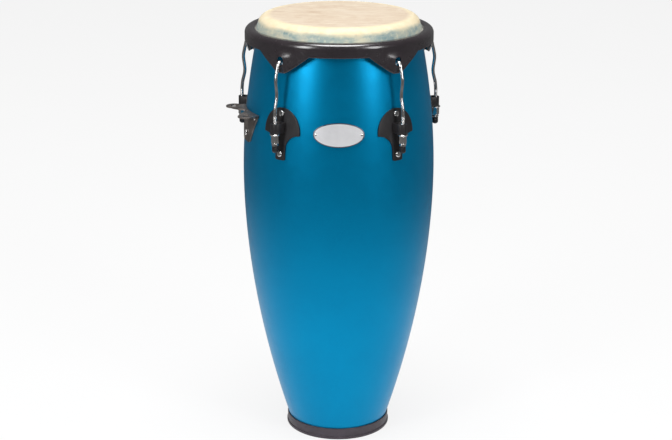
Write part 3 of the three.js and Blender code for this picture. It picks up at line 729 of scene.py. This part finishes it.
def make_nut(number, azimuth):
    bore = ROD_R + 0.12
    # Each ring is a radius, a height, and whether the hexagon trims it.
    rings = [(bore, NUT_BOTTOM + 0.6, 0), (bore + 0.6, NUT_BOTTOM, 0), (COLLAR_R - 0.7, NUT_BOTTOM, 0)]
    rings += [(COLLAR_R, NUT_BOTTOM + 0.7, 0), (COLLAR_R, HEX_BOTTOM - 1.3, 0)]
    rings += [(COLLAR_R - 0.8, HEX_BOTTOM - 0.6, 0), (COLLAR_R - 0.8, HEX_BOTTOM, 0)]
    rings += [(6.15, HEX_BOTTOM + 0.02, 1)]
    rings += [(6.6, HEX_BOTTOM + 0.3, 1), (7.05, HEX_BOTTOM + 0.6, 1), (7.5, HEX_BOTTOM + 0.95, 1)]
    rings += [(7.5, HEX_TOP - 0.9, 1), (7.05, HEX_TOP - 0.5, 1), (6.9, HEX_TOP - 0.2, 1)]
    rings += [(7.2, HEX_TOP, 0), (FLANGE_R - 0.9, HEX_TOP + 0.35, 0), (FLANGE_R - 0.2, HEX_TOP + 0.9, 0)]
    rings += [(FLANGE_R, HEX_TOP + 1.5, 0), (FLANGE_R, NUT_TOP - 0.5, 0), (FLANGE_R - 0.5, NUT_TOP, 0)]
    rings += [(bore + 0.5, NUT_TOP, 0), (bore, NUT_TOP - 0.5, 0)]
    segments = 72
    points = []
    for limit, z, is_hex in rings:
        shape = hex_radius(limit)
        for j in range(segments):
            a = 2 * math.pi * j / segments
            r = shape(a) if is_hex else limit
            points.append(Vector((ROD_REACH + r * math.cos(a), r * math.sin(a), z)) * MM)
    faces = grid_faces(len(rings), segments, True)
    nut = mesh_object(f"tuning_nut_body_{number}", points, faces, CHROME, turn(azimuth), 28)
    publish(nut, f"nut_{number}", [f"tuning_nut_{number}"])
    bottom = CAP_TOP - CAP_LENGTH
    inside = ROD_R + 0.5
    profile = [(0.05, bottom)]
    dome = [rad(a) for a in range(12, 91, 13)]
    profile += [(CAP_R * math.sin(a), bottom + 4.5 - 4.5 * math.cos(a)) for a in dome]
    profile += [(CAP_R, bottom + 5), (CAP_R, CAP_TOP - 3.4), (CAP_R - 0.35, CAP_TOP - 3.1)]
    profile += [(CAP_R - 0.35, CAP_TOP - 2.5), (CAP_R, CAP_TOP - 2.2), (CAP_R, CAP_TOP - 0.6)]
    profile += [(CAP_R - 0.6, CAP_TOP), (inside, CAP_TOP), (inside, bottom + 2.5), (0.05, bottom + 2.5)]
    place = turn(azimuth) @ Matrix.Translation((ROD_REACH * MM, 0, 0)) @ UPRIGHT
    cap = spun(f"nut_tip_{number}", profile, CAP_BLACK, 40, place)
    publish(cap, f"nut_{number}", [f"nut_cap_{number}"])


# ---- side plates, straps and screws ---------------------------------------------------------
def plate_rows():
    """Rows of a stem that opens in two quarter hollows to the wing tips, under one arch."""
    stem_z, hollow_z = PLATE_FOOT_Z + STEM_CORNER, PLATE_WING_Z - WING_DROP
    rows = []
    for a in (0, 30, 60, 90):
        half = STEM_HALF - STEM_CORNER + STEM_CORNER * math.sin(rad(a))
        rows.append((stem_z - STEM_CORNER * math.cos(rad(a)), half))
    rows += [(stem_z + (hollow_z - stem_z) * i / 8, STEM_HALF) for i in range(1, 9)]
    for a in range(6, 91, 6):
        z = hollow_z + (PLATE_WING_Z - 2 - hollow_z) * math.sin(rad(a))
        rows.append((z, STEM_HALF + (PLATE_HALF - 1 - STEM_HALF) * (1 - math.cos(rad(a)))))
    rows.append((PLATE_WING_Z - 1, PLATE_HALF - 0.4))
    for a in range(0, 88, 4):
        z = PLATE_WING_Z + (PLATE_ARCH_Z - PLATE_WING_Z) * math.sin(rad(a))
        rows.append((z, PLATE_HALF * math.cos(rad(a)) + 0.02))
    return [(z, -half, half) for z, half in rows]


def make_plate(number, azimuth):
    name = f"side_plate_sheet_{number}"
    plate = shell_sheet(name, plate_rows(), azimuth, GAP, GAP + PLATE, HARD_BLACK, 22)
    bevel(plate, 0.5, 2, 50)
    publish(plate, "drum", [f"side_plate_{number}"])


def strap_outline(shrink):
    """Half-round ended band in plan, from the plate outwards."""
    half = STRAP_HALF - shrink
    end = STRAP_REACH - STRAP_HALF
    back = shell_r(615) + 2 * GAP + PLATE + (shrink + 1 if shrink else -0.2)
    return [(back, -half)] + arc(end, 0, half, -90, 90, 18) + [(back, half)]


def make_strap(number, azimuth):
    outer, inner = strap_outline(0), strap_outline(STRAP_SHEET)
    floor = STRAP_BOTTOM + STRAP_SHEET + 0.6
    slope = (shell_r(STRAP_BOTTOM) - shell_r(STRAP_TOP)) / (STRAP_TOP - STRAP_BOTTOM)

    def lean(point, z):
        """The back edge follows the plate's slope."""
        x, y = point
        return (x - slope * (z - 615) if x < 182 else x), y

    levels = [(outer, STRAP_BOTTOM), (outer, STRAP_TOP), (inner, STRAP_TOP), (inner, floor)]
    points = [Vector((*lean(p, z), z)) * MM for loop, z in levels for p in loop]
    count = len(outer)
    faces = grid_faces(4, count)
    faces += [tuple(range(count)), tuple(range(3 * count, 4 * count))]
    band = mesh_object(f"strap_band_{number}", points, faces, HARD_BLACK, turn(azimuth))
    hole = ROD_R + 0.6
    bore = [(0, STRAP_BOTTOM - 5), (hole, STRAP_BOTTOM - 5), (hole, floor + 4), (0, floor + 4)]
    place = turn(azimuth) @ Matrix.Translation((ROD_REACH * MM, 0, 0)) @ UPRIGHT
    cut(band, spun("bore", bore, HARD_BLACK, 32, place))
    bevel(band, 0.55, 2, 50)
    publish(band, "drum", [f"strap_{number}"])


def screw_mesh(head_r):
    """A pan head with a cross recess on a plain shank, along +X from the sheet's face."""
    size = head_r / SCREW_HEAD_R
    head = [(0.02, -12.5), (SCREW_R, -12.5), (SCREW_R, 0), (head_r - 0.3, 0), (head_r, 0.35 * size)]
    for a in range(0, 91, 10):
        head.append((head_r * (0.6 + 0.4 * math.cos(rad(a))), size * (1.0 + 1.9 * math.sin(rad(a)))))
    head += [(0.3 * head_r, 3.05 * size), (0.02, 3.1 * size)]
    screw = spun("screw", head, CHROME, 48)
    points, faces = [], []
    for spin in (0, 90):
        base = len(points)
        for x, half, width in ((0.9, 1.2, 0.35), (4.0, 2.9, 0.75)):
            for y, z in ((-half, -width), (half, -width), (half, width), (-half, width)):
                q = Vector((x, y, z)) * size * MM
                points.append(Matrix.Rotation(rad(spin), 3, "X") @ q)
        faces += loft(base, 4)
        faces += [(base, base + 3, base + 2, base + 1), (base + 4, base + 5, base + 6, base + 7)]
    cross = mesh_object("cross", points, faces, CHROME)
    cut(screw, cross)
    mesh = screw.data
    bpy.data.objects.remove(screw)
    return mesh


SCREW, SMALL_SCREW = screw_mesh(SCREW_HEAD_R), screw_mesh(CORNER_HEAD_R)


def place_screw(name, node, matrix, sheet, spin, mesh=SCREW):
    screw = bpy.data.objects.new(name, mesh)
    bpy.context.scene.collection.objects.link(screw)
    out = Matrix.Translation(((2 * GAP + sheet) * MM, 0, 0))
    screw.matrix_world = matrix @ out @ Matrix.Rotation(rad(spin), 4, "X")
    publish(screw, "drum", [node])


# ---- badge and bracket ----------------------------------------------------------------------
def make_badge():
    rows = []
    for a in range(-88, 89, 4):
        half = BADGE_HALF[0] * math.cos(rad(a))
        rows.append((BADGE_Z + BADGE_HALF[1] * math.sin(rad(a)), -half, half))
    plate = shell_sheet("badge_plate", rows, 0, GAP, GAP + BADGE_SHEET, BADGE_RIM, 48)
    face_rows = [
        (BADGE_Z + (z - BADGE_Z) * 0.93, left * 0.965, right * 0.965) for z, left, right in rows
    ]
    face = shell_sheet("badge_face", face_rows, 0, GAP + 0.5, GAP + BADGE_SHEET + 0.12, BADGE_FACE, 48)
    bevel(plate, 0.45, 2, 50)
    publish(plate, "drum", ["badge"])
    publish(face, "drum")
    for number, along in ((1, -BADGE_PIN_T), (2, BADGE_PIN_T)):
        top = GAP + BADGE_SHEET + GAP
        profile = [(0.02, -4.5), (1.1, -4.5), (1.1, top), (2.2, top)]
        profile += [(2.3 * math.cos(rad(a)), top + 0.2 + 1.0 * math.sin(rad(a))) for a in range(0, 90, 15)]
        profile += [(0.02, top + 1.2)]
        pin = spun(f"badge_rivet_{number}", profile, CHROME, 28, seat(0, BADGE_Z, along))
        publish(pin, "drum", [f"badge_pin_{number}"])


def flange_outline():
    """Two rounded ears with a notch between them, in plan."""
    inner = [
        ((shell_r(BRACKET_TOP) + 1.6) * math.cos(t / 167), (shell_r(BRACKET_TOP) + 1.6) * math.sin(t / 167))
        for t in [BRACKET_HALF - 1 - (2 * BRACKET_HALF - 2) * i / 24 for i in range(25)]
    ]
    ear = arc(EAR_REACH, -EAR_T, EAR_R, -150, 50, 20)
    start = ear[-1]
    notch = []
    for p0, p1, p2 in (
        (start, (EAR_REACH, -12), (NOTCH_REACH, -5)),
        ((NOTCH_REACH, -5), (NOTCH_REACH - 2, 0), (NOTCH_REACH, 5)),
    ):
        notch += [quadratic(p0, p1, p2, i / 8) for i in range(1, 9)]
    half = ear + notch
    mirrored = [(x, -y) for x, y in ear[::-1]]
    rise = [(x, -y) for x, y in notch[:8]][::-1]
    return inner + half + rise + mirrored


def make_bracket():
    place = turn(BRACKET_AZ)
    outline = []
    for point in flange_outline():
        if not outline or (Vector(point) - Vector(outline[-1])).length > 0.05:
            outline.append(point)
    holes = [arc(EAR_REACH, side, BRACKET_HOLE_R, 0, 345, 23) for side in (-EAR_T, EAR_T)]
    low = BRACKET_TOP - BRACKET_SHEET
    flange = slab("bracket_flange", outline, holes, low, BRACKET_TOP, BRACKET, place)
    bevel(flange, 0.5, 2, 50)
    rows = []
    for z, half in ((0, 12), (0.7, 14.5), (2, 17.5), (4, 20), (6, BRACKET_FOOT_HALF)):
        rows.append((BRACKET_FOOT_Z + z, -half, half))
    side = BRACKET_HALF - 3
    for i in range(1, 15):
        u = i / 14
        half = BRACKET_FOOT_HALF + (side - BRACKET_FOOT_HALF) * u
        rows.append((BRACKET_FOOT_Z + 6 + (BRACKET_TOP - 5 - BRACKET_FOOT_Z - 6) * u, -half, half))
    rows += [(z, -side, side) for z in (BRACKET_TOP - 3.5, BRACKET_TOP - 0.8)]
    apron = shell_sheet("bracket_apron", rows, BRACKET_AZ, GAP, GAP + BRACKET_SHEET, BRACKET, 28)
    bevel(apron, 0.5, 2, 50)
    publish(flange, "drum", ["stand_bracket"])
    publish(apron, "drum")


make_shell()
make_foot()
make_skin()
make_hoop()
make_rim()
for index, azimuth in enumerate(LUGS):
    number = index + 1
    make_hook(number, azimuth)
    make_nut(number, azimuth)
    make_plate(number, azimuth)
    make_strap(number, azimuth)
    for letter, z, spin in zip("ab", SCREW_HEIGHTS, (17 * number, 40 + 23 * number)):
        name, node = f"plate_screw_head_{number}{letter}", f"plate_screw_{number}{letter}"
        place_screw(name, node, seat(azimuth, z), PLATE, spin)
make_badge()
make_bracket()
for index, (along, z) in enumerate(BRACKET_SCREWS):
    number = index + 1
    name, node = f"bracket_screw_head_{number}", f"bracket_screw_{number}"
    mesh = SMALL_SCREW if along else SCREW
    place_screw(name, node, seat(BRACKET_AZ, z, along), BRACKET_SHEET, 31 * number, mesh)
for name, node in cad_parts.items():
    if name.startswith(("wall_nut", "bracket_nut")):
        node.data.materials.clear()
        node.data.materials.append(ZINC)

# ---- floor, light and camera ----------------------------------------------------------------
FLOOR_SIDE, FLOOR_FRONT, FLOOR_BACK = 9.0, -1.6, 14.0
FLOOR_GLOW, FAR_FLOOR, FADE_FROM, FADE_TO = 0.85, 0.12, 0.45, 1.5
FILL, BEHIND = 0.08, 0.16
SENSOR, LENS = 36, 87.857142857  # millimetres
PITCH_DOWN, ROLL = 17.75, 0.2
EYE = Vector((-0.0045, -2.9, 1.32965))
# Each softbox is its name, place, target, width and height, and power in watts.
SOFTBOXES = (
    ("left_softbox", (-1.5, -1.65, 1.55), (0, 0, 0.55), (0.6, 1.5), 24),
    ("right_softbox", (1.5, -1.65, 1.55), (0, 0, 0.55), (0.6, 1.5), 20),
    ("top_softbox", (0, -0.6, 6.0), (0, 0, 0), (3.2, 2.6), 300),
)


def make_floor():
    n = Nodes("pale_floor", (0.86, 0.86, 0.87), 0.9)
    n.color(n.ramp(n.noise(3, 3), (0.4, (0.855, 0.855, 0.86)), (0.6, (0.87, 0.87, 0.875))))
    light = n.node("ShaderNodeLightPath")

    def over(share, under, strength):
        """The surface under, covered by a share of plain white light."""
        glow = n.node("ShaderNodeEmission")
        glow.inputs["Strength"].default_value = strength
        both = n.node("ShaderNodeMixShader")
        n.link(share, both.inputs["Fac"])
        n.link(under, both.inputs[1])
        n.link(glow.outputs["Emission"], both.inputs[2])
        return both.outputs["Shader"]

    seen = n.math("MAXIMUM", light.outputs["Is Camera Ray"], light.outputs["Is Transmission Ray"])
    seen = n.math("MAXIMUM", seen, light.outputs["Is Glossy Ray"])
    lit = over(n.math("MULTIPLY", seen, FLOOR_GLOW), n.shader.outputs["BSDF"], 1.0)
    # A painted pool of light round the drum: the floor's glow seen in reflections fades with distance.
    away = n.node("ShaderNodeVectorMath", operation="LENGTH")
    n.link(n.place, away.inputs[0])
    past_painted_pool = n.range(away.outputs["Value"], FADE_FROM, FADE_TO)
    lit = over(n.math("MULTIPLY", past_painted_pool, light.outputs["Is Glossy Ray"]), lit, FAR_FLOOR)
    n.link(lit, n.tree.nodes["Material Output"].inputs["Surface"])
    points = [
        (x, y, 0)
        for x, y in (
            (-FLOOR_SIDE, FLOOR_FRONT),
            (FLOOR_SIDE, FLOOR_FRONT),
            (FLOOR_SIDE, FLOOR_BACK),
            (-FLOOR_SIDE, FLOOR_BACK),
        )
    ]
    mesh_object("floor", points, [(0, 1, 2, 3)], n.material)


def make_world():
    world = bpy.data.worlds.new("studio")
    bpy.context.scene.world = world
    world.use_nodes = True
    tree = world.node_tree
    tree.nodes.clear()

    def node(kind, **values):
        made = tree.nodes.new(kind)
        for key, value in values.items():
            setattr(made, key, value)
        return made

    out = node("ShaderNodeOutputWorld")
    place = node("ShaderNodeTexCoord")
    split = node("ShaderNodeSeparateXYZ")
    tree.links.new(place.outputs["Generated"], split.inputs["Vector"])

    def highest(a, b):
        made = node("ShaderNodeMath", operation="MAXIMUM")
        tree.links.new(a, made.inputs[0])
        tree.links.new(b, made.inputs[1])
        return made.outputs["Value"]

    # Dim all round, a little lighter behind the drum, so that the softboxes shape it.
    behind = node("ShaderNodeMapRange", interpolation_type="SMOOTHSTEP")
    for key, number in zip(("From Min", "From Max", "To Min", "To Max"), (-0.2, 0.9, FILL, BEHIND)):
        behind.inputs[key].default_value = number
    tree.links.new(split.outputs["Y"], behind.inputs["Value"])
    path = node("ShaderNodeLightPath")
    white = highest(path.outputs["Is Camera Ray"], path.outputs["Is Transmission Ray"])
    strength = highest(behind.outputs["Result"], white)
    lit = node("ShaderNodeBackground")
    lit.inputs["Color"].default_value = (1, 1, 1, 1)
    tree.links.new(strength, lit.inputs["Strength"])
    tree.links.new(lit.outputs["Background"], out.inputs["Surface"])


def softbox(name, place, target, size, power):
    lamp = bpy.data.lights.new(name, "AREA")
    lamp.shape, lamp.size, lamp.size_y, lamp.energy = "RECTANGLE", size[0], size[1], power
    obj = bpy.data.objects.new(name, lamp)
    bpy.context.scene.collection.objects.link(obj)
    obj.location = Vector(place) + AXIS
    obj.rotation_mode = "QUATERNION"
    obj.rotation_quaternion = (Vector(target) - Vector(place)).to_track_quat("-Z", "Y")


def make_camera():
    data = bpy.data.cameras.new("camera")
    data.sensor_width, data.lens = SENSOR, LENS
    camera = bpy.data.objects.new("camera", data)
    bpy.context.scene.collection.objects.link(camera)
    camera.location = AXIS + EYE
    roll = Matrix.Rotation(rad(ROLL), 4, "Z")
    look = Matrix.Rotation(rad(90 - PITCH_DOWN), 4, "X")
    camera.rotation_euler = (look @ roll).to_euler()
    bpy.context.scene.camera = camera


make_floor()
make_world()
for box in SOFTBOXES:
    softbox(*box)
make_camera()
bpy.context.scene.view_settings.view_transform = "Standard"
